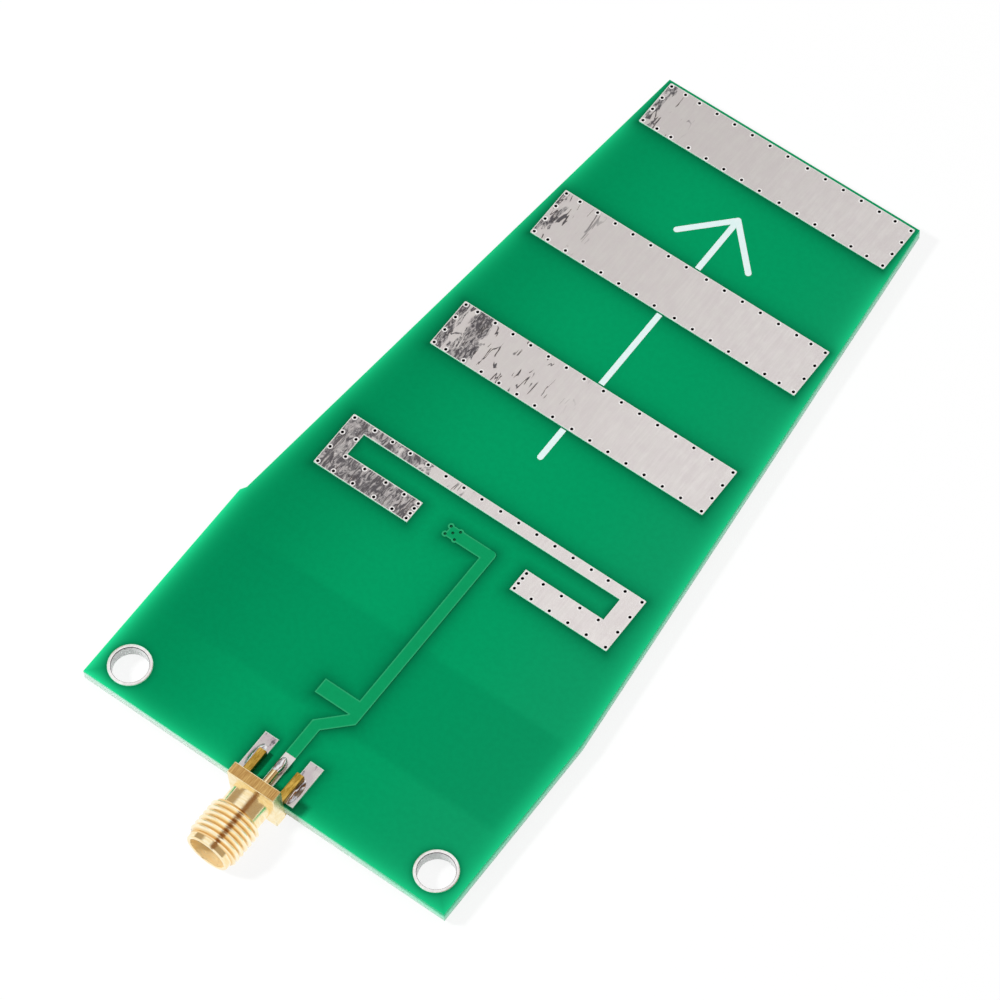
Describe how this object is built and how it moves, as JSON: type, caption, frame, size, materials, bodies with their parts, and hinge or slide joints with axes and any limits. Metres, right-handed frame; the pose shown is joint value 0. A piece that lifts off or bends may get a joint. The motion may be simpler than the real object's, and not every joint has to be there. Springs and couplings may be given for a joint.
{
  "type": "printed directional pcb antenna",
  "caption": "Tapered circuit-board antenna with tinned element strips, a feed line under green lacquer, plated mounting holes and an edge-mounted coaxial socket.",
  "frame": {"origin": "centre of the bounding box in X and Y, on the plane that the socket's flange rests on", "axes": "+Y along the printed arrow, from the socket to the narrow end; +Z out of the printed face; +X across the board, to the right when the arrow points away"},
  "size_m": [0.05, 0.1094, 0.0063],
  "materials": {
    "laminate": "routed glass-epoxy edge, pale and fibrous",
    "solder_mask": "smooth green lacquer, semi-gloss",
    "tinned_strip": "hot-air levelled tin, satin with ripples at one end",
    "hole_plating": "bright tinned barrel",
    "white_print": "matt white ink",
    "gold_plate": "bright gold flash over turned brass",
    "insulator": "white fluoropolymer",
    "solder": "bright wetted solder"
  },
  "bodies": {
    "root": {"board_core": "laminate", "front_solder_mask": "solder_mask", "back_solder_mask": "solder_mask", "front_dipole": "tinned_strip", "front_director_1": "tinned_strip", "front_director_2": "tinned_strip", "front_director_3": "tinned_strip", "back_director_1": "tinned_strip", "back_director_2": "tinned_strip", "back_director_3": "tinned_strip", "back_ground_plane": "tinned_strip", "dipole_vias": "tinned_strip", "director_1_vias": "tinned_strip", "director_2_vias": "tinned_strip", "director_3_vias": "tinned_strip", "feed_trace": "tinned_strip", "feed_vias": "tinned_strip", "left_ground_pad": "tinned_strip", "right_ground_pad": "tinned_strip", "left_hole_plating": "hole_plating", "right_hole_plating": "hole_plating", "direction_arrow": "white_print", "connector_shell": "gold_plate", "centre_contact": "gold_plate", "connector_insulator": "insulator", "signal_solder": "solder", "left_front_solder": "solder", "right_front_solder": "solder", "left_back_solder": "solder", "right_back_solder": "solder"}
  },
  "joints": []
}
